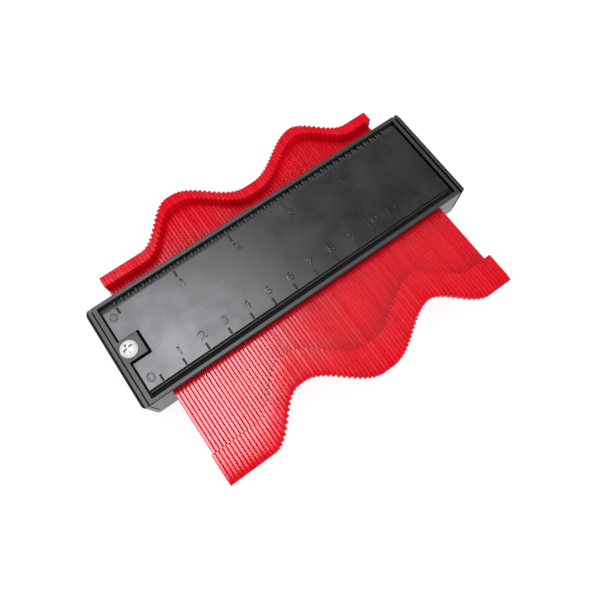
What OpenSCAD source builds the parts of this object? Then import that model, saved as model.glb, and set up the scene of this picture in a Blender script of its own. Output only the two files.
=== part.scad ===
// Contour gauge: a two-part plastic body with a row of sliding teeth.
// The teeth lie side by side along X and slide along Y. Z points up.
// The origin is the middle of the face that the body rests on.

/* [Teeth] */
// Number of tooth pairs in the row
tooth_pairs = 43; // [20:1:50]
// Distance from one tooth to the next
tooth_pitch = 1.5; // [1.2:0.05:2]
// Gap between neighbouring teeth
tooth_gap = 0.05; // [0.03:0.01:0.1]
// Length of a tooth from its front tip to its rear end
tooth_length = 93; // [90:1:120]
// Length of the raised nose at the front end of a tooth
nose_length = 12.5; // [8:0.5:16]
// Thickness of the nose at its tip
tip_thickness = 2; // [1.4:0.1:4]
// Length of the bevel on top of the nose at its tip
tip_bevel_length = 2.5; // [1:0.1:5]
// Depth of that bevel at the tip
tip_bevel_depth = 0.6; // [0.2:0.1:1]
// Length of the raised lip at the rear end of a tooth
rear_lip_length = 4.6; // [3:0.1:8]
// Chamfer on the outer top edge of the rear lip
lip_chamfer = 0.3; // [0.1:0.1:1]
// Distance from the rear lip to the body on a tooth that isn't pushed in
rear_rest_gap = 4.4; // [1:0.1:6]

/* [Body] */
// Distance from the row of teeth to each end of the body
end_length = 11.6; // [11:0.1:16]
// Width of the body, the way the teeth slide
body_width = 44.5; // [38:0.5:50]
// Height of the body from its underside to its rim
body_height = 19; // [17:0.5:26]
// Clearance between the end blocks and the first and last tooth
row_clearance = 0.1; // [0.05:0.05:0.3]
// Clearance above and below the teeth at the guide lands
slide_clearance = 0.1; // [0.05:0.01:0.2]
// Width of the guide lands along the front and the rear
land_width = 5; // [3:0.5:9]
// Height of the guide lands
land_height = 0.5; // [0.2:0.1:0.8]
// Chamfer on the edges where the teeth come out
mouth_chamfer = 0.8; // [0.2:0.1:1.2]

/* [Lower frame] */
// Thickness of the floor under the teeth
floor_thickness = 5; // [4.5:0.1:7]
// Thickness of each end wall
end_wall = 2.6; // [2:0.1:3]
// Distance that the end walls stay below the rim
end_wall_drop = 0.4; // [0:0.1:1.5]
// Chamfer along the outer top edge of each end wall
end_chamfer = 1.3; // [0.3:0.1:1.6]
// Radius of the upright corners
corner_radius = 2.2; // [0.6:0.1:3]
// Chamfer round the bottom edge along the front and the rear
foot_chamfer = 0.6; // [0.2:0.1:1.2]

/* [Upper frame] */
// Thickness of the roof over the teeth
roof_thickness = 5; // [4.5:0.1:7]
// Gap between the upper frame and each end wall
frame_gap = 0.5; // [0.2:0.1:0.8]
// Width of the rim along the front and the rear
rim_width = 1.8; // [1:0.1:2.5]
// Width of the rim at the two ends
end_rim_width = 1.6; // [1:0.1:2.5]
// Chamfer round the outer top edge of the rim
rim_chamfer = 0.3; // [0.1:0.1:0.6]
// Depth of the pocket for the scale plate
pocket_depth = 2.8; // [1.8:0.1:3.2]
// Length of the screw boss from the end rim
boss_length = 8.2; // [7:0.1:12]
// Width of the screw boss
boss_width = 9.2; // [8:0.1:14]

/* [Scale plate] */
// Thickness of the plate
plate_thickness = 2; // [1.2:0.1:2.6]
// Chamfer along the front and rear top edges of the plate
plate_chamfer = 0.3; // [0.1:0.1:0.5]
// Width of the ledge along the front and rear of the plate
ledge_width = 0.9; // [0.3:0.1:1.2]
// Thickness of that ledge
ledge_thickness = 0.8; // [0.4:0.1:1]
// Gap round the ends of the plate and round the boss
plate_gap = 0.8; // [0.3:0.1:1]
// Width of the groove along the front and the rear of the plate
groove_width = 3; // [1.4:0.1:5]

/* [Tension screws] */
// Diameter of the screw shanks
screw_diameter = 3; // [2.5:0.1:3.5]
// Diameter of the screw heads
head_diameter = 6.8; // [5.5:0.1:7.5]
// Height of the screw heads
head_height = 2; // [1.4:0.1:2.4]
// Radius of the domed top of the screw heads
dome_radius = 4.6; // [4.2:0.1:8]
// Radial clearance where a screw turns in its thread
thread_clearance = 0.05; // [0.02:0.01:0.1]
// Radial clearance where a screw passes through the nearer frame
passing_clearance = 0.3; // [0.1:0.05:0.5]
// Material left beyond the end of a screw hole
hole_cover = 0.8; // [0.5:0.1:1.2]

/* [Hidden] */
$fn = 64;
cut = 1;
tooth_count = 2 * tooth_pairs;
tooth_thickness = tooth_pitch - tooth_gap;
row_length = tooth_count * tooth_pitch;
slot_length = row_length + 2 * row_clearance;
body_length = slot_length + 2 * end_length;
roof_underside = body_height - roof_thickness;
shank_bottom = floor_thickness + slide_clearance;
shank_top = roof_underside - slide_clearance;
front_tip = body_width / 2 + rear_rest_gap + rear_lip_length - tooth_length;

upper_length = body_length - 2 * (end_wall + frame_gap);
block_length = (upper_length - slot_length) / 2;
pocket_length = upper_length - 2 * end_rim_width;
pocket_width = body_width - 2 * rim_width;
pocket_floor = body_height - pocket_depth;
boss_end = boss_length - pocket_length / 2;

screw_x = (slot_length + block_length) / 2;
counterbore_depth = head_height + passing_clearance;
top_screw_end = hole_cover + slide_clearance;
bottom_screw_end = pocket_floor - hole_cover - slide_clearance;

// The curve that the teeth were pushed against, as two smooth bumps:
// left foot, left shoulder, right shoulder, right foot and height of each
curve_bumps = [
    [-46, -25, -23, 3, 14.5],
    [7, 35, 33.5, 54, 12.2]
];

function pair_name(pair) = str("tooth_pair_", pair < 10 ? "0" : "", pair);

function smooth(share) = (1 - cos(180 * min(1, max(0, share)))) / 2;
function bump_at(x, bump) = bump[4]
    * smooth((x - bump[0]) / (bump[1] - bump[0]))
    * smooth((bump[3] - x) / (bump[3] - bump[2]));
function push_at(x) = bump_at(x, curve_bumps[0]) + bump_at(x, curve_bumps[1]);
function tooth_x(tooth) = (tooth - (tooth_count + 1) / 2) * tooth_pitch;

// A box centred in X and Y, from one height to another
module slab(length, width, bottom, top) {
    translate([-length / 2, -width / 2, bottom])
        cube([length, width, top - bottom]);
}

// A bar along X with a square section turned on its edge, to cut a chamfer
module chamfer_along_x(length, size) {
    rotate([45, 0, 0])
        cube([length, size * sqrt(2), size * sqrt(2)], center = true);
}

// The same bar along Y
module chamfer_along_y(length, size) {
    rotate([0, 45, 0])
        cube([size * sqrt(2), length, size * sqrt(2)], center = true);
}

// The outline of the body with its round corners
module body_outline() {
    square([body_length - 2 * corner_radius, body_width], center = true);
    square([body_length, body_width - 2 * corner_radius], center = true);
    for (x = [-1, 1], y = [-1, 1])
        translate([x * (body_length / 2 - corner_radius), y * (body_width / 2 - corner_radius)])
            circle(corner_radius);
}

// Floor with guide lands, end walls, the thread for the top screw
// and the sunk hole for the bottom screw
module lower_frame() {
    wall_top = body_height - end_wall_drop;
    color([0.16, 0.16, 0.17])
        difference() {
            linear_extrude(wall_top) body_outline();
            slab(body_length - 2 * end_wall, body_width + cut, floor_thickness, wall_top + cut);
            slab(slot_length, body_width - 2 * land_width, floor_thickness - land_height, wall_top);
            for (y = [-1, 1])
                translate([0, y * body_width / 2, floor_thickness])
                    chamfer_along_x(slot_length, mouth_chamfer);
            for (y = [-1, 1])
                translate([0, y * body_width / 2, 0])
                    chamfer_along_x(body_length + cut, foot_chamfer);
            for (x = [-1, 1])
                translate([x * body_length / 2, 0, wall_top])
                    chamfer_along_y(body_width + cut, end_chamfer);
            translate([-screw_x, 0, hole_cover])
                cylinder(d = screw_diameter + 2 * thread_clearance, h = floor_thickness);
            translate([screw_x, 0, -cut])
                cylinder(d = screw_diameter + 2 * passing_clearance, h = floor_thickness + 2 * cut);
            translate([screw_x, 0, -cut])
                cylinder(d = head_diameter + 2 * passing_clearance, h = counterbore_depth + cut);
        }
}

// Roof with rim, pocket, screw boss and guide lands, on a block at each end
module upper_frame() {
    color([0.13, 0.13, 0.14])
        difference() {
            slab(upper_length, body_width, floor_thickness, body_height);
            slab(slot_length, body_width + cut, floor_thickness - cut, roof_underside);
            slab(slot_length, body_width - 2 * land_width, floor_thickness, roof_underside + land_height);
            for (y = [-1, 1])
                translate([0, y * body_width / 2, roof_underside])
                    chamfer_along_x(slot_length, mouth_chamfer);
            for (y = [-1, 1])
                translate([0, y * body_width / 2, body_height])
                    chamfer_along_x(upper_length + cut, rim_chamfer);
            for (x = [-1, 1])
                translate([x * upper_length / 2, 0, body_height])
                    chamfer_along_y(body_width + cut, rim_chamfer);
            difference() {
                slab(pocket_length, pocket_width, pocket_floor, body_height + cut);
                translate([-body_length / 2, -boss_width / 2, 0])
                    cube([boss_end + body_length / 2, boss_width, body_height]);
            }
            translate([-screw_x, 0, 0])
                cylinder(d = screw_diameter + 2 * passing_clearance, h = body_height + cut);
            translate([screw_x, 0, 0])
                cylinder(d = screw_diameter + 2 * thread_clearance, h = pocket_floor - hole_cover);
        }
}

// Plate in the pocket with a ledge along the front and the rear, cut out round the screw boss
module scale_plate() {
    plate_length = pocket_length - 2 * plate_gap;
    plate_width = pocket_width - 2 * groove_width;
    plate_top = pocket_floor + plate_thickness;
    ledge_top = pocket_floor + ledge_thickness;
    color([0.19, 0.19, 0.2])
        difference() {
            union() {
                slab(plate_length, plate_width + 2 * ledge_width, pocket_floor, ledge_top);
                slab(plate_length, plate_width, pocket_floor, plate_top);
            }
            for (y = [-1, 1])
                translate([0, y * plate_width / 2, plate_top])
                    chamfer_along_x(plate_length + cut, plate_chamfer);
            translate([-body_length / 2, -boss_width / 2 - plate_gap, 0])
                cube([boss_end + plate_gap + body_length / 2, boss_width + 2 * plate_gap, body_height]);
        }
}

// Pan-head screw that stands on its shank's end, with its head on top
module tension_screw(shank_length) {
    color([0.86, 0.85, 0.83]) {
        cylinder(d = screw_diameter, h = shank_length);
        translate([0, 0, shank_length])
            intersection() {
                cylinder(d = head_diameter, h = head_height);
                translate([0, 0, head_height - dome_radius])
                    sphere(dome_radius);
            }
    }
}

module top_tension_screw() {
    translate([-screw_x, 0, top_screw_end])
        tension_screw(body_height - top_screw_end);
}

module bottom_tension_screw() {
    translate([screw_x, 0, bottom_screw_end])
        rotate([180, 0, 0])
            tension_screw(bottom_screw_end - counterbore_depth);
}

// Side view of a tooth, from the tip of its nose towards the rear
module tooth_profile() {
    lip_start = tooth_length - rear_lip_length;
    polygon([
        [0, body_height - tip_thickness],
        [0, body_height - tip_bevel_depth],
        [tip_bevel_length, body_height],
        [nose_length, body_height],
        [nose_length, shank_top],
        [lip_start, shank_top],
        [lip_start, body_height],
        [tooth_length - lip_chamfer, body_height],
        [tooth_length, body_height - lip_chamfer],
        [tooth_length, shank_bottom],
        [nose_length, shank_bottom]
    ]);
}

module tooth(number) {
    x = tooth_x(number);
    translate([x, front_tip + push_at(x), 0])
        rotate([90, 0, 90])
            linear_extrude(tooth_thickness, center = true)
                tooth_profile();
}

// Two neighbouring teeth
module tooth_pair(pair) {
    color([0.83, 0.1, 0.14]) {
        tooth(2 * pair - 1);
        tooth(2 * pair);
    }
}

lower_frame();
upper_frame();
scale_plate();
top_tension_screw();
bottom_tension_screw();
for (pair = [1 : tooth_pairs])
    tooth_pair(pair);
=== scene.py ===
import math

import bmesh
import bpy
from mathutils import Matrix, Vector


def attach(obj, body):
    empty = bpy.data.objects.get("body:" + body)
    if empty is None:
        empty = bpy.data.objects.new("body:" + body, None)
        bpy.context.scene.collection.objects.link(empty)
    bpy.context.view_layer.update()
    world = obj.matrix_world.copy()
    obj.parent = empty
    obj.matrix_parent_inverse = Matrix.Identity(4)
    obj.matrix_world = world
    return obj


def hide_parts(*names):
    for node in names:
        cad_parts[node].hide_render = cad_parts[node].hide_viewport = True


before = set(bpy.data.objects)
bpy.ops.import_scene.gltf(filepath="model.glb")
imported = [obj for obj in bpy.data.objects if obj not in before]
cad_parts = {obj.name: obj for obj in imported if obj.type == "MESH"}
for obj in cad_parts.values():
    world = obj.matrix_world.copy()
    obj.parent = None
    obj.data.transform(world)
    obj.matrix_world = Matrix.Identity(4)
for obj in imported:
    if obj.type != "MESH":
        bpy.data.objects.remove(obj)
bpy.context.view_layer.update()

# Sizes of the gauge are in millimetres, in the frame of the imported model:
# X along the row of teeth, Y from the noses to the rear lips, Z up.
MM = 0.001

# Body: its box, the slot for the teeth, and the joint lines at its two ends
BODY_HALF_LENGTH, BODY_HALF_WIDTH = 76.2, 22.25
FLOOR_TOP, ROOF_UNDERSIDE, END_WALL_TOP, RIM_TOP = 5.0, 14.0, 18.6, 19.0
SLOT_END = 64.6
LEFT_WALL_INSIDE, RIGHT_WALL_INSIDE = -73.6, 73.9
UPPER_LEFT_END, UPPER_RIGHT_END = -73.35, 73.1
LAND_EDGE, LAND_HEIGHT = 17.25, 0.5
SLOT_CHAMFER, END_CHAMFER, FOOT_CHAMFER = 0.8, 1.3, 0.6
CORNER_ROUNDING, CORNER_STEPS = 2.2, 6
RIM_ROUNDING, RIM_STEPS = 0.45, 2
LOWER_EDGES, UPPER_EDGES, PLATE_EDGES = 0.22, 0.2, 0.15

# Pocket in the roof, with the screw boss at its left end
POCKET_LEFT, POCKET_RIGHT, POCKET_SIDE, POCKET_FLOOR = -71.25, 71.5, 20.45, 16.2
BOSS_END, BOSS_SIDE = -63.3, 4.6
REAR_GROOVE_START = 18.15

# Scale plate in the pocket, with a ledge along its front and its rear
PLATE_END, PLATE_SIDE, PLATE_TOP = 70.75, 17.45, 18.2
LEDGE_SIDE, FRONT_LEDGE_TOP, REAR_LEDGE_TOP = 18.35, 17.0, 17.5
LEDGES_BELOW = 17.89
BOSS_GAP, REAR_BOSS_GAP = 0.8, 0.3

# Scales: strokes and numbers on the plate, ribs in the rear groove
CENTIMETRE, INCH = 10, 25.4
CENTIMETRE_ZERO, INCH_ZERO = -64.5, -64.8
LAST_CENTIMETRE, LAST_INCH = 12, 5
TICK_START, TICK_END, TICK_RISE = 14.2, 17.25, 0.28
CENTIMETRE_TICK_WIDTH, INCH_TICK_WIDTH = 1.0, 1.1
RIB_COUNT, RIB_SPACING, RIB_WIDTH, RIB_TOP = 42, INCH / 8, 1.3, 17.5
STROKE_ROOT, RIB_END_ROOT = 0.2, 0.1
NUMBER_HEIGHT, NUMBER_WIDENING = 4.8, 1.35
NUMBER_Y, CENTIMETRE_NUMBER_SHIFT, INCH_NUMBER_SHIFT = 11.1, 0.6, 0.4
NUMBER_WALL, NUMBER_EDGE = 0.06, 0.1
NUMBER_RISE, WORN_RISE, RISE_START, RISE_STEP = 0.22, 0.08, -0.1, 0.035
ZERO_X, FRONT_ZERO_Y, REAR_ZERO_Y, FRONT_ZERO_HEIGHT = -67.6, -13.6, 14.0, 5.0

# Teeth: the row, the outline of one tooth, and its broken edges
TOOTH_PAIRS, TOOTH_PITCH, TOOTH_THICKNESS = 43, 1.5, 1.48
FRONT_TIP, TOOTH_LENGTH, NOSE_LENGTH, LIP_LENGTH = -61.75, 93.0, 12.5, 4.6
SHANK_BOTTOM, SHANK_TOP = 5.1, 13.9
TIP_DEPTH, TIP_FALL, TIP_FALL_LENGTH = 2, 0.6, 2.5
LIP_FALL, LIP_CHAMFER = 0.2, 0.3
NOSE_STEP_ROUNDING, NOSE_FACET, LIP_FACET = 0.4, 0.29, 0.17
# The curve that the teeth were pushed against: two bumps, each with its
# left foot, left shoulder, right shoulder, right foot and height
CURVE_BUMPS = ((-46, -25, -23, 3, 14.5), (7, 35, 33.5, 54, 12.2))

# Screws: a domed head with a cross recess, on a plain shank
SCREW_X, SINK_RADIUS, SINK_DEPTH = 68.85, 3.7, 2.3
HEAD_RADIUS, HEAD_SIDE, HEAD_HEIGHT, DOME_RADIUS = 3.4, 0.5, 2, 4.6
DOME_RINGS = (3.05, 2.5, 1.8, 1.0, 0.4)
SHANK_RADIUS, UPPER_SHANK, LOWER_SHANK = 1.5, 18, 13
CROSS_REACH, CROSS_HALF_WIDTH, CROSS_TAPER = 2.55, 0.56, 0.6
CROSS_FLOOR, CROSS_TOP, RECESS_ABOVE = 0.6, 2.5, 0.55

# Bench: how far a cutter reaches past its work, sides of a round bar, and
# the share of a normal that counts as facing a way
CUTTER_OVERSHOOT = 1
ROUND_SIDES = 48
FACING = 0.5


# Bench tools: picking, cutting and finishing

def clear_selection():
    if bpy.context.mode != "OBJECT":
        bpy.ops.object.mode_set(mode="OBJECT")
    bpy.ops.object.select_all(action="DESELECT")


def work_on(*pieces):
    clear_selection()
    for piece in pieces:
        piece.select_set(True)
    bpy.context.view_layer.objects.active = pieces[0]


def named(piece, name):
    piece.name = name
    piece.data.name = name
    return piece


def settle():
    """Puts the place, turn and scale of what is selected into its mesh."""
    bpy.ops.object.transform_apply(location=True, rotation=True, scale=True)


def block(name, low, high):
    """A rectangular blank between two corners."""
    clear_selection()
    low, high = Vector(low) * MM, Vector(high) * MM
    bpy.ops.mesh.primitive_cube_add(size=1, location=(low + high) / 2, scale=high - low)
    settle()
    return named(bpy.context.active_object, name)


def round_bar(name, radius, low, high):
    """A round blank that stands on the Z axis."""
    clear_selection()
    bpy.ops.mesh.primitive_cylinder_add(
        vertices=ROUND_SIDES, radius=radius * MM, depth=(high - low) * MM,
        location=(0, 0, (low + high) / 2 * MM))
    settle()
    return named(bpy.context.active_object, name)


def open_for_editing(piece):
    work_on(piece)
    bpy.ops.object.mode_set(mode="EDIT")


def close_after_editing(piece):
    """Merges doubled points, turns the faces outwards and leaves edit mode."""
    bpy.ops.mesh.select_all(action="SELECT")
    bpy.ops.mesh.remove_doubles(threshold=1e-7)
    bpy.ops.mesh.normals_make_consistent(inside=False)
    bpy.ops.object.mode_set(mode="OBJECT")


def pick_faces(piece, test):
    """Selects the faces whose middle (in mm) and normal pass the test."""
    bpy.ops.mesh.select_mode(type="FACE")
    bpy.ops.mesh.select_all(action="DESELECT")
    mesh = bmesh.from_edit_mesh(piece.data)
    mesh.normal_update()
    for face in mesh.faces:
        if test(face.calc_center_median() / MM, face.normal):
            face.select_set(True)
    bmesh.update_edit_mesh(piece.data)


def pick_edges(piece, test):
    """Selects the edges whose two ends (in mm) pass the test."""
    bpy.ops.mesh.select_mode(type="EDGE")
    bpy.ops.mesh.select_all(action="DESELECT")
    mesh = bmesh.from_edit_mesh(piece.data)
    for edge in mesh.edges:
        if test(edge.verts[0].co / MM, edge.verts[1].co / MM):
            edge.select_set(True)
    bmesh.update_edit_mesh(piece.data)


def near(a, b, play=0.01):
    return abs(a - b) < play


def faces_up(normal):
    return normal.z > FACING


def faces_down(normal):
    return normal.z < -FACING


def score_picked(axis, place):
    """Cuts an edge across what is picked, at this place along one axis."""
    direction = Vector((0, 0, 0))
    direction["xyz".index(axis)] = 1
    bpy.ops.mesh.bisect(plane_co=direction * place * MM, plane_no=direction)


def score(axis, *places):
    """Cuts edges right round the piece at these places along one axis."""
    for place in places:
        bpy.ops.mesh.select_all(action="SELECT")
        score_picked(axis, place)


def plane_off(point, direction):
    """Planes the piece flat at a point and takes away what lies beyond, in that direction."""
    bpy.ops.mesh.select_all(action="SELECT")
    bpy.ops.mesh.bisect(plane_co=Vector(point) * MM, plane_no=Vector(direction).normalized(),
                        use_fill=True, clear_outer=True)


def pull(x=0, y=0, z=0):
    """Extrudes what is picked."""
    bpy.ops.mesh.extrude_region_move(
        TRANSFORM_OT_translate={"value": (x * MM, y * MM, z * MM)})


def break_edges(width, steps=1):
    """Bevels the picked edges: a flat facet, or a rounding in steps."""
    bpy.ops.mesh.bevel(offset=width * MM, offset_type="OFFSET", segments=steps, affect="EDGES")


def clean_flats(piece, keep=lambda a, b: False):
    """Takes out the scored lines in flat faces, but for those to keep."""
    pick_edges(piece, lambda a, b: not keep(a, b))
    bpy.ops.mesh.dissolve_limited(angle_limit=math.radians(0.5))


def apply_modifiers(piece):
    work_on(piece)
    for modifier in list(piece.modifiers):
        bpy.ops.object.modifier_apply(modifier=modifier.name)


def shade(piece, angle):
    """Smooth shading, broken at edges sharper than the angle."""
    work_on(piece)
    bpy.ops.object.shade_smooth_by_angle(angle=math.radians(angle))


def flatten_shading(piece, keep_sharp=False):
    """Keeps the flat faces looking flat beside their rounded edges, and applies all modifiers."""
    flats = piece.modifiers.new("flat faces", "WEIGHTED_NORMAL")
    flats.weight = 100
    flats.keep_sharp = keep_sharp
    apply_modifiers(piece)


def finish_edges(piece, width, angle=30):
    """Rounds every edge sharper than the angle a little."""
    work_on(piece)
    bpy.ops.object.shade_smooth()
    rounding = piece.modifiers.new("rounded edges", "BEVEL")
    rounding.width = width * MM
    rounding.segments = 3
    rounding.limit_method = "ANGLE"
    rounding.angle_limit = math.radians(angle)
    rounding.miter_outer = "MITER_ARC"
    rounding.use_clamp_overlap = True
    flatten_shading(piece)
    return piece


def combine(piece, other, operation):
    """Joins the other shape to the piece, or takes it out of the piece."""
    change = piece.modifiers.new("other shape", "BOOLEAN")
    change.operation = operation
    change.solver = "EXACT"
    change.object = other
    apply_modifiers(piece)
    bpy.data.objects.remove(other)


def copy_of(piece, name, offset):
    """A copy with a mesh of its own, moved into place."""
    twin = piece.copy()
    twin.data = piece.data.copy()
    bpy.context.scene.collection.objects.link(twin)
    work_on(twin)
    twin.location = Vector(offset) * MM
    settle()
    return named(twin, name)


def join(name, pieces):
    work_on(*pieces)
    bpy.ops.object.join()
    return named(bpy.context.active_object, name)


# The body

def slot_edges(level):
    """A test for the long edges of the slot at this height, in front and behind."""
    return lambda a, b: (near(a.z, level) and near(b.z, level) and near(a.y, b.y)
                         and near(abs(a.y), BODY_HALF_WIDTH) and abs(a.x + b.x) / 2 < SLOT_END)


def over_slot(c):
    return abs(c.x) < SLOT_END and abs(c.y) < LAND_EDGE


def mould_lower_frame():
    """Floor under the teeth, with a wall at each end and the sunk hole of the lower screw."""
    piece = block("lower_frame_moulding", (-BODY_HALF_LENGTH, -BODY_HALF_WIDTH, 0),
                  (BODY_HALF_LENGTH, BODY_HALF_WIDTH, FLOOR_TOP))
    open_for_editing(piece)
    score("x", LEFT_WALL_INSIDE, -SLOT_END, SLOT_END, RIGHT_WALL_INSIDE)
    score("y", -LAND_EDGE, LAND_EDGE)
    pick_faces(piece, lambda c, n: faces_up(n)
               and not LEFT_WALL_INSIDE < c.x < RIGHT_WALL_INSIDE)
    pull(z=END_WALL_TOP - FLOOR_TOP)
    pick_faces(piece, lambda c, n: faces_up(n) and over_slot(c))
    pull(z=-LAND_HEIGHT)
    pick_edges(piece, slot_edges(FLOOR_TOP))
    break_edges(SLOT_CHAMFER)
    clean_flats(piece)
    pick_edges(piece, lambda a, b: near(abs(a.x), BODY_HALF_LENGTH) and near(a.x, b.x)
               and near(abs(a.y), BODY_HALF_WIDTH) and near(a.y, b.y))
    break_edges(CORNER_ROUNDING, CORNER_STEPS)
    for side in (-1, 1):
        plane_off((side * (BODY_HALF_LENGTH - END_CHAMFER), 0, END_WALL_TOP), (side, 0, 1))
        plane_off((0, side * (BODY_HALF_WIDTH - FOOT_CHAMFER), 0), (0, side, -1))
    close_after_editing(piece)
    sink = round_bar("sink", SINK_RADIUS, -CUTTER_OVERSHOOT, SINK_DEPTH)
    sink.location.x = SCREW_X * MM
    combine(piece, sink, "DIFFERENCE")
    return finish_edges(piece, LOWER_EDGES)


def mould_upper_frame():
    """Roof over the teeth with its rim, pocket and screw boss, on a block at each end."""
    piece = block("upper_frame_moulding", (UPPER_LEFT_END, -BODY_HALF_WIDTH, ROOF_UNDERSIDE),
                  (UPPER_RIGHT_END, BODY_HALF_WIDTH, RIM_TOP))
    open_for_editing(piece)
    score("x", POCKET_LEFT, -SLOT_END, BOSS_END, SLOT_END, POCKET_RIGHT)
    score("y", -POCKET_SIDE, -LAND_EDGE, -BOSS_SIDE, BOSS_SIDE, LAND_EDGE, POCKET_SIDE)
    pick_faces(piece, lambda c, n: faces_down(n) and abs(c.x) > SLOT_END)
    pull(z=FLOOR_TOP - ROOF_UNDERSIDE)
    pick_faces(piece, lambda c, n: faces_up(n) and POCKET_LEFT < c.x < POCKET_RIGHT
               and abs(c.y) < POCKET_SIDE and not (c.x < BOSS_END and abs(c.y) < BOSS_SIDE))
    pull(z=POCKET_FLOOR - RIM_TOP)
    pick_faces(piece, lambda c, n: faces_down(n) and over_slot(c))
    pull(z=LAND_HEIGHT)
    pick_edges(piece, slot_edges(ROOF_UNDERSIDE))
    break_edges(SLOT_CHAMFER)
    # The rim is a flat ring, and is always cut in two in line with the boss's end
    clean_flats(piece, keep=lambda a, b: near(a.z, RIM_TOP) and near(b.z, RIM_TOP)
                and near(a.x, BOSS_END) and near(b.x, BOSS_END)
                and abs(a.y + b.y) / 2 > POCKET_SIDE)
    pick_edges(piece, lambda a, b: near(a.z, RIM_TOP) and near(b.z, RIM_TOP)
               and (near(abs(a.y + b.y) / 2, BODY_HALF_WIDTH)
                    or near((a.x + b.x) / 2, UPPER_LEFT_END)
                    or near((a.x + b.x) / 2, UPPER_RIGHT_END)))
    break_edges(RIM_ROUNDING, RIM_STEPS)
    pick_faces(piece, lambda c, n: faces_up(n) and near(c.z, POCKET_FLOOR))
    score_picked("y", REAR_GROOVE_START)
    close_after_editing(piece)
    return finish_edges(piece, UPPER_EDGES, angle=40)


def mould_scale_plate():
    """Plate with a low ledge in front and behind, cut out round the screw boss."""
    piece = block("scale_plate_moulding", (-PLATE_END, -PLATE_SIDE, POCKET_FLOOR),
                  (PLATE_END, PLATE_SIDE, PLATE_TOP))
    open_for_editing(piece)
    score("z", FRONT_LEDGE_TOP, REAR_LEDGE_TOP)
    for side, top in ((-1, FRONT_LEDGE_TOP), (1, REAR_LEDGE_TOP)):
        pick_faces(piece, lambda c, n: n.y * side > FACING and c.z < top)
        pull(y=side * (LEDGE_SIDE - PLATE_SIDE))
    clean_flats(piece)
    close_after_editing(piece)
    notch = block("notch", (-PLATE_END - CUTTER_OVERSHOOT, -BOSS_SIDE - BOSS_GAP,
                            POCKET_FLOOR - CUTTER_OVERSHOOT),
                  (BOSS_END + BOSS_GAP, BOSS_SIDE + REAR_BOSS_GAP, PLATE_TOP + CUTTER_OVERSHOOT))
    combine(piece, notch, "DIFFERENCE")
    return finish_edges(piece, PLATE_EDGES)


# The scales on the plate and in the rear groove

def scale_stroke(width, low_y, high_y, low_z, high_z):
    """One raised line of a scale, round on top."""
    stroke = block("stroke", (-width / 2, low_y, low_z), (width / 2, high_y, high_z))
    open_for_editing(stroke)
    pick_edges(stroke, lambda a, b: near(a.z, high_z) and near(b.z, high_z))
    break_edges(min(width * 0.42, (high_z - low_z) * 0.9), 3)
    close_after_editing(stroke)
    shade(stroke, 40)
    return stroke


def row_of_strokes(name, stroke, zero, spacing, count):
    pieces = [copy_of(stroke, name, (zero + spacing * number, 0, 0)) for number in range(count)]
    bpy.data.objects.remove(stroke)
    return join(name, pieces)


def mould_ticks():
    """The strokes of the centimetres in front and of the inches behind."""
    root, top = PLATE_TOP - STROKE_ROOT, PLATE_TOP + TICK_RISE
    front = scale_stroke(CENTIMETRE_TICK_WIDTH, -TICK_END, -TICK_START, root, top)
    centimetres = row_of_strokes("centimetre_ticks", front, CENTIMETRE_ZERO, CENTIMETRE,
                                 LAST_CENTIMETRE + 1)
    rear = scale_stroke(INCH_TICK_WIDTH, TICK_START, TICK_END, root, top)
    inches = row_of_strokes("inch_ticks", rear, INCH_ZERO, INCH, LAST_INCH + 1)
    return centimetres, inches


def mould_ribs():
    """The eighths of an inch stand as small ribs across the rear groove."""
    rib = scale_stroke(RIB_WIDTH, LEDGE_SIDE - RIB_END_ROOT, POCKET_SIDE + RIB_END_ROOT,
                       POCKET_FLOOR - STROKE_ROOT, RIB_TOP)
    return row_of_strokes("eighth_inch_ribs", rib, INCH_ZERO, RIB_SPACING, RIB_COUNT)


def raised_number(number, x, y, height=NUMBER_HEIGHT, rise=NUMBER_RISE):
    """A number whose face stands this far above the plate."""
    middle = PLATE_TOP + rise - (NUMBER_WALL + NUMBER_EDGE)
    clear_selection()
    bpy.ops.object.text_add(location=(x * MM, y * MM, middle * MM))
    lettering = bpy.context.active_object
    lettering.data.body = str(number)
    lettering.data.align_x = "CENTER"
    lettering.data.align_y = "CENTER"
    lettering.data.size = height * MM
    lettering.scale.x = NUMBER_WIDENING
    lettering.data.extrude = NUMBER_WALL * MM
    lettering.data.bevel_depth = NUMBER_EDGE * MM
    lettering.data.bevel_resolution = 1
    lettering.data.resolution_u = 4
    bpy.ops.object.convert(target="MESH")
    settle()
    return bpy.context.active_object


def worn_rise(number):
    """The centimetre numbers are worn lower towards the left end."""
    return min(NUMBER_RISE, max(WORN_RISE, RISE_START + RISE_STEP * number))


def mould_numbers():
    pieces = [raised_number(0, ZERO_X, FRONT_ZERO_Y, height=FRONT_ZERO_HEIGHT),
              raised_number(0, ZERO_X, REAR_ZERO_Y)]
    for number in range(1, LAST_CENTIMETRE + 1):
        x = CENTIMETRE_ZERO + CENTIMETRE * number + CENTIMETRE_NUMBER_SHIFT
        pieces.append(raised_number(number, x, -NUMBER_Y, rise=worn_rise(number)))
    for number in range(1, LAST_INCH + 1):
        x = INCH_ZERO + INCH * number + INCH_NUMBER_SHIFT
        pieces.append(raised_number(number, x, NUMBER_Y))
    numbers = join("scale_numbers", pieces)
    open_for_editing(numbers)
    close_after_editing(numbers)
    shade(numbers, 40)
    return numbers


# The teeth

def smooth_step(share):
    return (1 - math.cos(math.pi * min(1, max(0, share)))) / 2


def pushed_in(x):
    """How far the curve has pushed the tooth at x towards the rear."""
    return sum(height * smooth_step((x - foot) / (shoulder - foot))
               * smooth_step((end - x) / (end - fall))
               for foot, shoulder, fall, end, height in CURVE_BUMPS)


def tooth_x(number):
    return (number - TOOTH_PAIRS - 0.5) * TOOTH_PITCH


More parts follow.
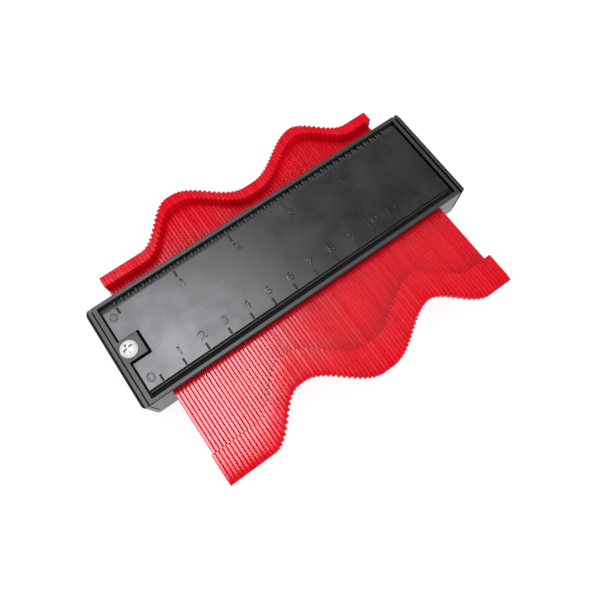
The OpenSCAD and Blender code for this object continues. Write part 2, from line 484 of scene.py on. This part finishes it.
def mould_tooth():
    """One tooth at the middle of the row: a flat shank with a raised nose and rear lip."""
    half = TOOTH_THICKNESS / 2
    nose_end = FRONT_TIP + NOSE_LENGTH
    rear_tip = FRONT_TIP + TOOTH_LENGTH
    lip_start = rear_tip - LIP_LENGTH

    def lengthwise(a, b):
        return near(a.x, b.x) and near(abs(a.x), half) and abs(a.y - b.y) > 0.05

    def on_top(a, b):
        return min(a.z, b.z) > RIM_TOP - 1

    def on_shank(a, b):
        return (near(a.z, SHANK_TOP) and near(b.z, SHANK_TOP)
                and nose_end < (a.y + b.y) / 2 < lip_start)

    piece = block("tooth", (-half, nose_end, SHANK_BOTTOM), (half, lip_start, SHANK_TOP))
    open_for_editing(piece)
    pick_faces(piece, lambda c, n: n.y < -FACING)
    pull(y=-NOSE_LENGTH)
    pick_faces(piece, lambda c, n: n.y > FACING)
    pull(y=LIP_LENGTH)
    pick_faces(piece, lambda c, n: faces_up(n) and not nose_end < c.y < lip_start)
    pull(z=RIM_TOP - SHANK_TOP)
    # The nose runs up to a thin tip from below and falls a little towards it on top
    plane_off((0, nose_end, SHANK_BOTTOM),
              (0, SHANK_BOTTOM - (RIM_TOP - TIP_DEPTH), -NOSE_LENGTH))
    plane_off((0, FRONT_TIP, RIM_TOP - TIP_FALL), (0, -TIP_FALL, TIP_FALL_LENGTH))
    # The rear lip falls towards its end, which has a chamfer
    plane_off((0, lip_start, RIM_TOP), (0, LIP_FALL / LIP_LENGTH, 1))
    plane_off((0, rear_tip - LIP_CHAMFER, RIM_TOP - LIP_FALL), (0, 1, 1))
    pick_edges(piece, lambda a, b: near(a.z, RIM_TOP) and near(b.z, RIM_TOP)
               and near(a.y, b.y) and near(a.y, nose_end))
    break_edges(NOSE_STEP_ROUNDING, 2)
    pick_edges(piece, lambda a, b: lengthwise(a, b)
               and (on_top(a, b) and a.y < 0 or on_shank(a, b)))
    break_edges(NOSE_FACET)
    pick_edges(piece, lambda a, b: lengthwise(a, b) and on_top(a, b) and a.y > 0)
    break_edges(LIP_FACET)
    close_after_editing(piece)
    shade(piece, 30)
    flatten_shading(piece, keep_sharp=True)
    return piece


def set_teeth(tooth):
    """A copy of the tooth for each place in the row, two to a pair."""
    pairs = []
    for pair in range(1, TOOTH_PAIRS + 1):
        name = f"teeth_{pair:02d}"
        both = [copy_of(tooth, name, (tooth_x(number), pushed_in(tooth_x(number)), 0))
                for number in (2 * pair - 1, 2 * pair)]
        pairs.append(join(name, both))
    bpy.data.objects.remove(tooth)
    return pairs


# The screws

def cross_punch():
    """The shape of the cross recess: two crossed bars that narrow towards the bottom."""
    cross = block("cross", (-CROSS_REACH, -CROSS_HALF_WIDTH, CROSS_FLOOR),
                  (CROSS_REACH, CROSS_HALF_WIDTH, CROSS_TOP))
    arm = block("arm", (-CROSS_HALF_WIDTH, -CROSS_REACH, CROSS_FLOOR),
                (CROSS_HALF_WIDTH, CROSS_REACH, CROSS_TOP))
    combine(cross, arm, "UNION")
    open_for_editing(cross)
    pick_faces(cross, lambda c, n: faces_down(n))
    bpy.ops.transform.resize(value=(CROSS_TAPER, CROSS_TAPER, 1),
                             center_override=(0, 0, CROSS_FLOOR * MM))
    close_after_editing(cross)
    return cross


def turn_screw(name, shank_length):
    """A domed head with a cross recess on a plain shank. The head's underside is at z = 0."""
    piece = round_bar(name, HEAD_RADIUS, 0, HEAD_SIDE)
    open_for_editing(piece)
    radius, height = HEAD_RADIUS, HEAD_SIDE
    for ring in DOME_RINGS:
        pick_faces(piece, lambda c, n: n.z > 0.9 and c.z > height - 0.01)
        top = HEAD_HEIGHT - DOME_RADIUS + math.sqrt(DOME_RADIUS ** 2 - ring ** 2)
        pull(z=top - height)
        share = ring / radius
        bpy.ops.transform.resize(value=(share, share, 1), center_override=(0, 0, top * MM))
        radius, height = ring, top
    pick_faces(piece, lambda c, n: n.z < -0.9)
    bpy.ops.mesh.inset(thickness=(HEAD_RADIUS - SHANK_RADIUS) * MM)
    pick_faces(piece, lambda c, n: n.z < -0.9 and Vector((c.x, c.y)).length < 0.1)
    pull(z=-shank_length)
    close_after_editing(piece)
    combine(piece, cross_punch(), "DIFFERENCE")
    shade(piece, 40)
    return piece


def set_screw(piece, x, z, turn, upside_down=False):
    work_on(piece)
    piece.rotation_euler = (math.pi if upside_down else 0, 0, math.radians(turn))
    piece.location = (x * MM, 0, z * MM)
    settle()
    return piece


# Finishes

class Finish:
    """The nodes of a material, a group or the world, laid one by one."""

    def __init__(self, tree):
        self.tree = tree
        tree.nodes.clear()

    def feed(self, socket, value):
        """Links a socket to the output that gives its value, or sets a plain value."""
        if isinstance(value, bpy.types.NodeSocket):
            self.tree.links.new(value, socket)
        else:
            socket.default_value = value

    def node(self, kind, values=None, **settings):
        made = self.tree.nodes.new(kind)
        for key, value in settings.items():
            setattr(made, key, value)
        for socket, value in (values or {}).items():
            self.feed(made.inputs[socket], value)
        return made

    def group(self, group, values):
        return self.node("ShaderNodeGroup", values, node_tree=group).outputs

    def place(self):
        return self.node("ShaderNodeTexCoord").outputs["Object"]

    def noise(self, place, scale, **values):
        values = {"Vector": place, "Scale": scale, **values}
        return self.node("ShaderNodeTexNoise", values).outputs["Fac"]

    def chance(self, number):
        """A share between 0 and 1 that belongs to a number."""
        made = self.node("ShaderNodeTexWhiteNoise", {"W": number}, noise_dimensions="1D")
        return made.outputs["Value"]

    def math(self, operation, *values):
        values = dict(enumerate(values))
        return self.node("ShaderNodeMath", values, operation=operation).outputs[0]

    def spread(self, value, low, high, to_low=0.0, to_high=1.0):
        values = {"Value": value, "From Min": low, "From Max": high,
                  "To Min": to_low, "To Max": to_high}
        return self.node("ShaderNodeMapRange", values).outputs["Result"]

    def blend(self, share, first, second):
        """A colour between two others. Sockets 6, 7 and 2 are the colour ones of the node."""
        values = {"Factor": share, 6: first, 7: second}
        return self.node("ShaderNodeMix", values, data_type="RGBA").outputs[2]

    def bump(self, height, strength, depth):
        """A normal from a height, at a depth in mm."""
        values = {"Height": height, "Strength": strength, "Distance": depth * MM}
        return self.node("ShaderNodeBump", values).outputs[0]


def new_group(name, inputs, outputs):
    """A group of nodes with its named values in and out."""
    group = bpy.data.node_groups.new(name, "ShaderNodeTree")
    f = Finish(group)
    for socket, value in inputs.items():
        made = group.interface.new_socket(socket, in_out="INPUT", socket_type="NodeSocketFloat")
        made.default_value = value
    for socket in outputs:
        group.interface.new_socket(socket, in_out="OUTPUT", socket_type="NodeSocketFloat")
    taken = f.node("NodeGroupInput").outputs
    given = f.node("NodeGroupOutput").inputs
    return group, f, taken, given


def skin_group():
    """Moulded skin: fine grain, cloudy patches and a few hair scratches."""
    group, f, taken, given = new_group(
        "moulded skin", {"Grain Scale": 2600.0, "Patch Scale": 70.0},
        ("Grain", "Patches", "Scratches"))
    place = f.place()
    grain = f.noise(place, taken["Grain Scale"], Detail=3.0, Roughness=0.6)
    patches = f.noise(place, taken["Patch Scale"], Detail=4.0, Roughness=0.6)
    scratches = 0.0
    for turn, shift in ((0.5, 0.0), (-0.9, 7.3), (1.9, 3.1)):
        laid = f.node("ShaderNodeMapping", {
            "Vector": place, "Rotation": (0, 0, turn), "Location": (shift, 0, 0),
            "Scale": (45.0, 2600.0, 45.0)})
        line = f.noise(laid.outputs[0], 1.0, Detail=1.0)
        scratches = f.math("MAXIMUM", scratches, f.spread(line, 0.735, 0.77))
    f.feed(given["Grain"], grain)
    f.feed(given["Patches"], patches)
    f.feed(given["Scratches"], scratches)
    return group


def edge_group():
    """Rubbed and highlit edges: a mask of the corners, broken up by noise; the paleness it gives
    stands for wear and for a painted highlight.
    """
    group, f, taken, given = new_group("rubbed and highlit edges", {"Reach": 0.0005}, ("Mask",))
    rounded = f.node("ShaderNodeBevel", {"Radius": taken["Reach"]}, samples=6).outputs["Normal"]
    true = f.node("ShaderNodeNewGeometry").outputs["Normal"]
    facing = f.node("ShaderNodeVectorMath", {0: rounded, 1: true}, operation="DOT_PRODUCT")
    edge = f.spread(facing.outputs["Value"], 0.995, 0.85)
    breaks = f.spread(f.noise(f.place(), 130.0, Detail=5.0), 0.35, 0.65)
    f.feed(given["Mask"], f.math("MULTIPLY", edge, breaks))
    return group


def tooth_group():
    """What differs from tooth to tooth: its shade and a slight lean, from its place in the row."""
    group, f, taken, given = new_group(
        "tooth to tooth", {"Pitch": TOOTH_PITCH * MM}, ("Shade", "Lean"))
    along = f.node("ShaderNodeSeparateXYZ", {0: f.place()}).outputs["X"]
    row = f.math("DIVIDE", along, taken["Pitch"])
    number = f.math("FLOOR", row)
    across = f.math("SUBTRACT", f.math("FRACT", row), 0.5)
    lean = f.math("SUBTRACT", f.chance(f.math("ADD", number, 0.37)), 0.5)
    # The lean fades out at the edges of the tooth
    squared = f.math("MULTIPLY", across, across)
    fading = f.math("SUBTRACT", 1.0, f.math("MULTIPLY", 4.0, squared))
    f.feed(given["Shade"], f.chance(number))
    f.feed(given["Lean"], f.math("MULTIPLY", fading, f.math("MULTIPLY", across, lean)))
    return group


SKIN, EDGES, TOOTH_TO_TOOTH = skin_group(), edge_group(), tooth_group()


def new_material(name):
    material = bpy.data.materials.new(name)
    material.use_nodes = True
    f = Finish(material.node_tree)
    return material, f, f.node("ShaderNodeOutputMaterial").inputs["Surface"]


def new_finish(name):
    material, f, surface = new_material(name)
    shader = f.node("ShaderNodeBsdfPrincipled")
    f.feed(surface, shader.outputs[0])
    return material, f, shader.inputs


def black(level):
    return (level, level, level + 0.001, 1)


def black_plastic(name, shade, roughness, grain, wear_and_highlight, polished_shaded_sides=0.0, sheen=0.5):
    """Black moulded plastic with a satin skin, paler at its edges, where rubbing and a painted
    highlight both show.

    Shade and roughness go from the first to the second value over the cloudy
    patches. The grain has a scale and a depth in mm.
    """
    material, f, shader = new_finish(name)
    grain_scale, grain_depth = grain
    skin = f.group(SKIN, {"Grain Scale": grain_scale, "Patch Scale": 75.0})
    edges = f.group(EDGES, {"Reach": 0.0005})["Mask"]
    colour = f.blend(f.spread(skin["Patches"], 0.3, 0.7), black(shade[0]), black(shade[1]))
    # Paler at the edges: rubbed wear, with a painted highlight along them.
    colour = f.blend(f.math("MULTIPLY", edges, wear_and_highlight), colour, (0.16, 0.16, 0.165, 1))
    scratched = f.math("MULTIPLY", skin["Scratches"], 0.1)
    colour = f.blend(scratched, colour, (0.13, 0.13, 0.135, 1))
    gloss = f.spread(skin["Patches"], 0.3, 0.7, *roughness)
    # Upright faces are glossier and painted darker: the darker colour is a painted shade.
    if polished_shaded_sides:
        normal = f.node("ShaderNodeNewGeometry").outputs["Normal"]
        upward = f.node("ShaderNodeSeparateXYZ", {0: normal}).outputs["Z"]
        side = f.spread(f.math("ABSOLUTE", upward), 0.85, 0.4)
        colour = f.blend(side, colour, black(0.008))
        gloss = f.math("SUBTRACT", gloss, f.math("MULTIPLY", side, polished_shaded_sides))
    height = f.math("SUBTRACT", skin["Grain"], f.math("MULTIPLY", skin["Scratches"], 0.6))
    f.feed(shader["Base Color"], colour)
    f.feed(shader["Roughness"], f.math("ADD", gloss, f.math("MULTIPLY", skin["Grain"], 0.06)))
    f.feed(shader["Normal"], f.bump(height, 0.5, grain_depth))
    f.feed(shader["IOR"], 1.5)
    f.feed(shader["Specular IOR Level"], sheen)
    return material


def red_plastic(name):
    """Glossy red plastic, each tooth a little different from the next."""
    material, f, shader = new_finish(name)
    skin = f.group(SKIN, {"Grain Scale": 1500.0, "Patch Scale": 110.0})
    each = f.group(TOOTH_TO_TOOTH, {"Pitch": TOOTH_PITCH * MM})
    edges = f.group(EDGES, {"Reach": 0.00025})["Mask"]
    colour = f.blend(each["Shade"], (0.73, 0.001, 0.013, 1), (0.83, 0.003, 0.02, 1))
    clouded = f.spread(skin["Patches"], 0.35, 0.8, 0.0, 0.5)
    colour = f.blend(clouded, colour, (0.67, 0.001, 0.011, 1))
    # Paler at the edges: rubbed wear, with a painted highlight along them.
    colour = f.blend(f.math("MULTIPLY", edges, 0.08), colour, (0.85, 0.09, 0.1, 1))
    gloss = f.math("ADD", f.spread(skin["Patches"], 0.3, 0.7, 0.14, 0.2),
                   f.math("MULTIPLY", each["Shade"], 0.05))
    height = f.math("ADD", f.math("MULTIPLY", skin["Grain"], 0.05),
                    f.math("MULTIPLY", each["Lean"], 0.6))
    f.feed(shader["Base Color"], colour)
    f.feed(shader["Roughness"], gloss)
    f.feed(shader["Normal"], f.bump(height, 1.0, 0.08))
    f.feed(shader["IOR"], 1.5)
    f.feed(shader["Specular IOR Level"], 0.46)
    return material


def plated_steel(name, bright, dull):
    """Plated steel with a fine grain and cloudy patches."""
    material, f, shader = new_finish(name)
    skin = f.group(SKIN, {"Grain Scale": 3500.0, "Patch Scale": 500.0})
    colour = f.blend(f.spread(skin["Patches"], 0.35, 0.7), (*bright, 1), (*dull, 1))
    f.feed(shader["Base Color"], colour)
    f.feed(shader["Roughness"], f.spread(skin["Patches"], 0.3, 0.7, 0.58, 0.68))
    f.feed(shader["Normal"], f.bump(skin["Grain"], 0.3, 0.02))
    f.feed(shader["Metallic"], 0.45)
    return material


FRAME_PLASTIC = black_plastic(
    "black frame plastic", shade=(0.034, 0.048), roughness=(0.41, 0.49), grain=(2400.0, 0.03),
    wear_and_highlight=0.25, polished_shaded_sides=0.25)
# Nearly black with little sheen: a painted shade for the grooves, recesses and end chamfers.
PAINTED_SHADE_PLASTIC = black_plastic(
    "matt painted-shade plastic", shade=(0.008, 0.013), roughness=(0.75, 0.85), grain=(2000.0, 0.05),
    wear_and_highlight=0.0, sheen=0.15)
# Paler than the frame's own plastic: painted light on the floor of the rear groove.
REAR_GROOVE_PAINTED_LIGHT_PLASTIC = black_plastic(
    "grey painted-light groove plastic", shade=(0.06, 0.085), roughness=(0.6, 0.7), grain=(2000.0, 0.04),
    wear_and_highlight=0.0, sheen=0.4)
PLATE_PLASTIC = black_plastic(
    "black plate plastic", shade=(0.02, 0.03), roughness=(0.24, 0.36), grain=(1800.0, 0.015),
    wear_and_highlight=0.35)
SCALE_PLASTIC = black_plastic(
    "matt scale plastic", shade=(0.016, 0.024), roughness=(0.55, 0.65), grain=(2000.0, 0.03),
    wear_and_highlight=0.2)
NUMBER_PLASTIC = black_plastic(
    "satin number plastic", shade=(0.014, 0.022), roughness=(0.27, 0.36), grain=(1800.0, 0.015),
    wear_and_highlight=0.3)
TOOTH_PLASTIC = red_plastic("red tooth plastic")
SCREW_STEEL = plated_steel("plated screw steel", (0.985, 0.97, 0.955), (0.92, 0.905, 0.885))
# Darker steel for the walls of the cross recesses: a painted shade.
SHADED_RECESS_STEEL = plated_steel("shaded recess steel", (0.44, 0.425, 0.41), (0.33, 0.318, 0.31))


# Putting the gauge together

def fit(piece, body, slot, finish, *nodes, other_faces=()):
    """Gives a piece its finish and body, and some of its faces a finish of their own. The slot is
    not used.
    """
    piece.data.materials.clear()
    piece.data.materials.append(finish)
    for place, (other, test) in enumerate(other_faces, 1):
        piece.data.materials.append(other)
        open_for_editing(piece)
        pick_faces(piece, test)
        piece.active_material_index = place
        bpy.ops.object.material_slot_assign()
        bpy.ops.object.mode_set(mode="OBJECT")
    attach(piece, body)
    if nodes:
        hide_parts(*nodes)


def end_chamfers(c, n):
    return faces_up(n) and abs(n.x) > FACING


def in_pocket(c):
    return (POCKET_FLOOR - 0.1 < c.z < RIM_TOP - 0.2 and abs(c.x) < PLATE_END
            and abs(c.y) < POCKET_SIDE + 0.01)


def pocket_floor_and_front(c, n):
    return in_pocket(c) and (faces_up(n) or c.y < -POCKET_SIDE + 0.3)


def rear_groove_floor(c, n):
    return near(c.z, POCKET_FLOOR) and n.z > 0.9 and c.y > LEDGE_SIDE


def rear_groove_wall(c, n):
    return in_pocket(c) and near(c.y, POCKET_SIDE, 0.3) and n.y < -0.3


def front_ledge(c, n):
    return c.z < LEDGES_BELOW and faces_up(n) and c.y < 0


def rear_ledge(c, n):
    return c.z < LEDGES_BELOW and faces_up(n) and c.y > 0


def plate_sides(c, n):
    return c.z < LEDGES_BELOW and n.z < FACING


def upper_recess(c, n):
    return c.z > RIM_TOP + RECESS_ABOVE and n.z < 0.6


def lower_recess(c, n):
    return c.z < SINK_DEPTH - RECESS_ABOVE and n.z > -0.6


fit(mould_lower_frame(), "body", "frame_plastic", FRAME_PLASTIC, "lower_frame",
    # The end chamfers of the lower frame are painted dark, a painted shade.
    other_faces=((PAINTED_SHADE_PLASTIC, end_chamfers),))
fit(mould_upper_frame(), "body", "frame_plastic", FRAME_PLASTIC, "upper_frame",
    # The pocket's floor and front wall are painted dark, a painted shade.
    other_faces=((PAINTED_SHADE_PLASTIC, pocket_floor_and_front),
                 # The rear groove's floor is painted pale, painted light.
                 (REAR_GROOVE_PAINTED_LIGHT_PLASTIC, rear_groove_floor),
                 # The pocket's rear wall takes the scale plastic, a painted shade that is lighter
                 # than that of the front wall.
                 (SCALE_PLASTIC, rear_groove_wall)))
fit(mould_scale_plate(), "body", "plate_plastic", PLATE_PLASTIC, "scale_plate",
    other_faces=((SCALE_PLASTIC, front_ledge),
                 # The rear ledge takes the paler frame plastic: painted light, lighter than the
                 # front ledge of the same plate.
                 (FRAME_PLASTIC, rear_ledge),
                 # The plate's sides are painted dark, a painted shade.
                 (PAINTED_SHADE_PLASTIC, plate_sides)))
for ticks in mould_ticks():
    fit(ticks, "body", "plate_plastic", SCALE_PLASTIC)
fit(mould_ribs(), "body", "frame_plastic", FRAME_PLASTIC)
fit(mould_numbers(), "body", "plate_plastic", NUMBER_PLASTIC)
upper_screw = set_screw(turn_screw("upper_screw", UPPER_SHANK), -SCREW_X, RIM_TOP, turn=12)
fit(upper_screw, "top_screw", "screw_steel", SCREW_STEEL, "top_tension_screw",
    # The walls of the cross recess are painted darker, a painted shade.
    other_faces=((SHADED_RECESS_STEEL, upper_recess),))
lower_screw = set_screw(turn_screw("lower_screw", LOWER_SHANK), SCREW_X, SINK_DEPTH, turn=30,
                        upside_down=True)
fit(lower_screw, "bottom_screw", "screw_steel", SCREW_STEEL, "bottom_tension_screw",
    # The walls of the cross recess are painted darker, a painted shade.
    other_faces=((SHADED_RECESS_STEEL, lower_recess),))
for number, pair in enumerate(set_teeth(mould_tooth()), 1):
    fit(pair, f"tooth_pair_{number:02d}", "tooth_plastic", TOOTH_PLASTIC,
        f"tooth_pair_{number:02d}")


# The studio, in metres

WHITE = (1, 1, 1, 1)
FLOOR_RADIUS, FLOOR_LEVEL = 6, -0.00005
CLOTH_WIDTH, CLOTH_LEVEL, CLOTH_DROP = 6, 1.5, 1.45


def grey(level):
    return (level, level, level, 1)


def background_share(f):
    """1 for what the camera, a reflection or glass sees, 0 for light that falls on the gauge."""
    path = f.node("ShaderNodeLightPath").outputs
    seen = f.math("MAXIMUM", path["Is Camera Ray"], path["Is Glossy Ray"])
    return f.math("MAXIMUM", seen, path["Is Transmission Ray"])


def light_the_world(strength):
    """White behind the gauge, and a softer white that lights it."""
    world = bpy.data.worlds.new("studio")
    bpy.context.scene.world = world
    world.use_nodes = True
    f = Finish(world.node_tree)
    fill = f.node("ShaderNodeBackground", {"Color": WHITE, "Strength": strength}).outputs[0]
    white = f.node("ShaderNodeBackground", {"Color": WHITE, "Strength": 1.0}).outputs[0]
    mixed = f.node("ShaderNodeMixShader", {0: background_share(f), 1: fill, 2: white})
    f.feed(f.node("ShaderNodeOutputWorld").inputs["Surface"], mixed.outputs[0])


def lay_floor():
    """A pale round floor that is nearly white to the camera and keeps the gauge's shadow."""
    clear_selection()
    bpy.ops.mesh.primitive_circle_add(vertices=96, radius=FLOOR_RADIUS, fill_type="NGON",
                                      location=(0, 0, FLOOR_LEVEL))
    settle()
    floor = named(bpy.context.active_object, "studio_floor")
    material, f, surface = new_material("pale floor")
    tone = f.blend(f.noise(f.place(), 900.0, Detail=2.0), grey(0.78), grey(0.82))
    matt = f.node("ShaderNodeBsdfDiffuse", {"Color": tone}).outputs[0]
    shaded = f.node("ShaderNodeBsdfDiffuse", {"Color": grey(0.2)}).outputs[0]
    glow = f.node("ShaderNodeEmission", {"Color": WHITE, "Strength": 0.86}).outputs[0]
    seen = f.node("ShaderNodeAddShader", {0: shaded, 1: glow}).outputs[0]
    mixed = f.node("ShaderNodeMixShader", {0: background_share(f), 1: matt, 2: seen})
    f.feed(surface, mixed.outputs[0])
    floor.data.materials.append(material)


def hang_cloth():
    """A dark cloth over the table and down at both ends, so that the tops mirror only the panel."""
    clear_selection()
    bpy.ops.mesh.primitive_plane_add(size=CLOTH_WIDTH, location=(0, 0, CLOTH_LEVEL))
    settle()
    cloth = named(bpy.context.active_object, "studio_cloth")
    open_for_editing(cloth)
    edge = CLOTH_WIDTH / 2 / MM
    pick_edges(cloth, lambda a, b: near(abs(a.x), edge) and near(a.x, b.x))
    pull(z=-CLOTH_DROP / MM)
    bpy.ops.object.mode_set(mode="OBJECT")
    cloth.visible_camera = False
    cloth.visible_diffuse = False
    cloth.visible_shadow = False
    material, f, surface = new_material("dark cloth")
    tone = f.blend(f.noise(f.place(), 300.0), grey(0.03), grey(0.05))
    f.feed(surface, f.node("ShaderNodeBsdfDiffuse", {"Color": tone}).outputs[0])
    cloth.data.materials.append(material)


def soft_box(name, middle, turn, width, depth, brightness, tilt=0, tint=(1, 1, 1)):
    """A lamp with a broad soft face that hangs over the table, level unless it is tilted."""
    lamp = bpy.data.lights.new(name, "AREA")
    lamp.shape = "RECTANGLE"
    lamp.size, lamp.size_y = width, depth
    lamp.color = tint
    lamp.energy = brightness * math.pi * width * depth
    box = bpy.data.objects.new(name, lamp)
    bpy.context.scene.collection.objects.link(box)
    box.location = middle
    box.rotation_euler = (math.radians(tilt), 0, math.radians(turn))
    box.visible_camera = False
    return box


def hang_lamps():
    """Two soft boxes that only light the gauge, and a panel that only shows as its sheen."""
    overhead = soft_box("soft_box", (0.3, 0.15, 1.2), turn=-20, width=0.8, depth=0.8,
                        brightness=1.7)
    front = soft_box("front_fill", (0.5, -1.0, 0.8), turn=25, width=1.2, depth=0.6,
                     brightness=1.7, tilt=54)
    panel = soft_box("sheen_panel", (-0.1725, 0.2125, 0.918), turn=-32, width=0.424, depth=0.444,
                     brightness=13.8, tint=(0.98, 0.985, 1.04))
    overhead.visible_glossy = False
    front.visible_glossy = False
    panel.visible_diffuse = False


def set_camera(spot, ahead, right, lens):
    """A camera at a spot in mm, that looks ahead with its right-hand side this way."""
    ahead = Vector(ahead).normalized()
    right = Vector(right)
    right = (right - ahead * right.dot(ahead)).normalized()
    up = right.cross(ahead)
    camera = bpy.data.objects.new("camera", bpy.data.cameras.new("camera"))
    camera.data.lens = lens
    camera.data.sensor_width = 36
    camera.data.clip_start = 0.01
    turn = Matrix((right, up, -ahead)).transposed().to_4x4()
    camera.matrix_world = Matrix.Translation(Vector(spot) * MM) @ turn
    bpy.context.scene.collection.objects.link(camera)
    bpy.context.scene.camera = camera


light_the_world(strength=0.78)
lay_floor()
hang_cloth()
hang_lamps()
set_camera(spot=(-38.18, -68.1, 205.54), ahead=(0.1629, 0.2399, -0.957),
           right=(0.8137, -0.5812, -0.0072), lens=30.79)
bpy.context.scene.view_settings.view_transform = "Standard"
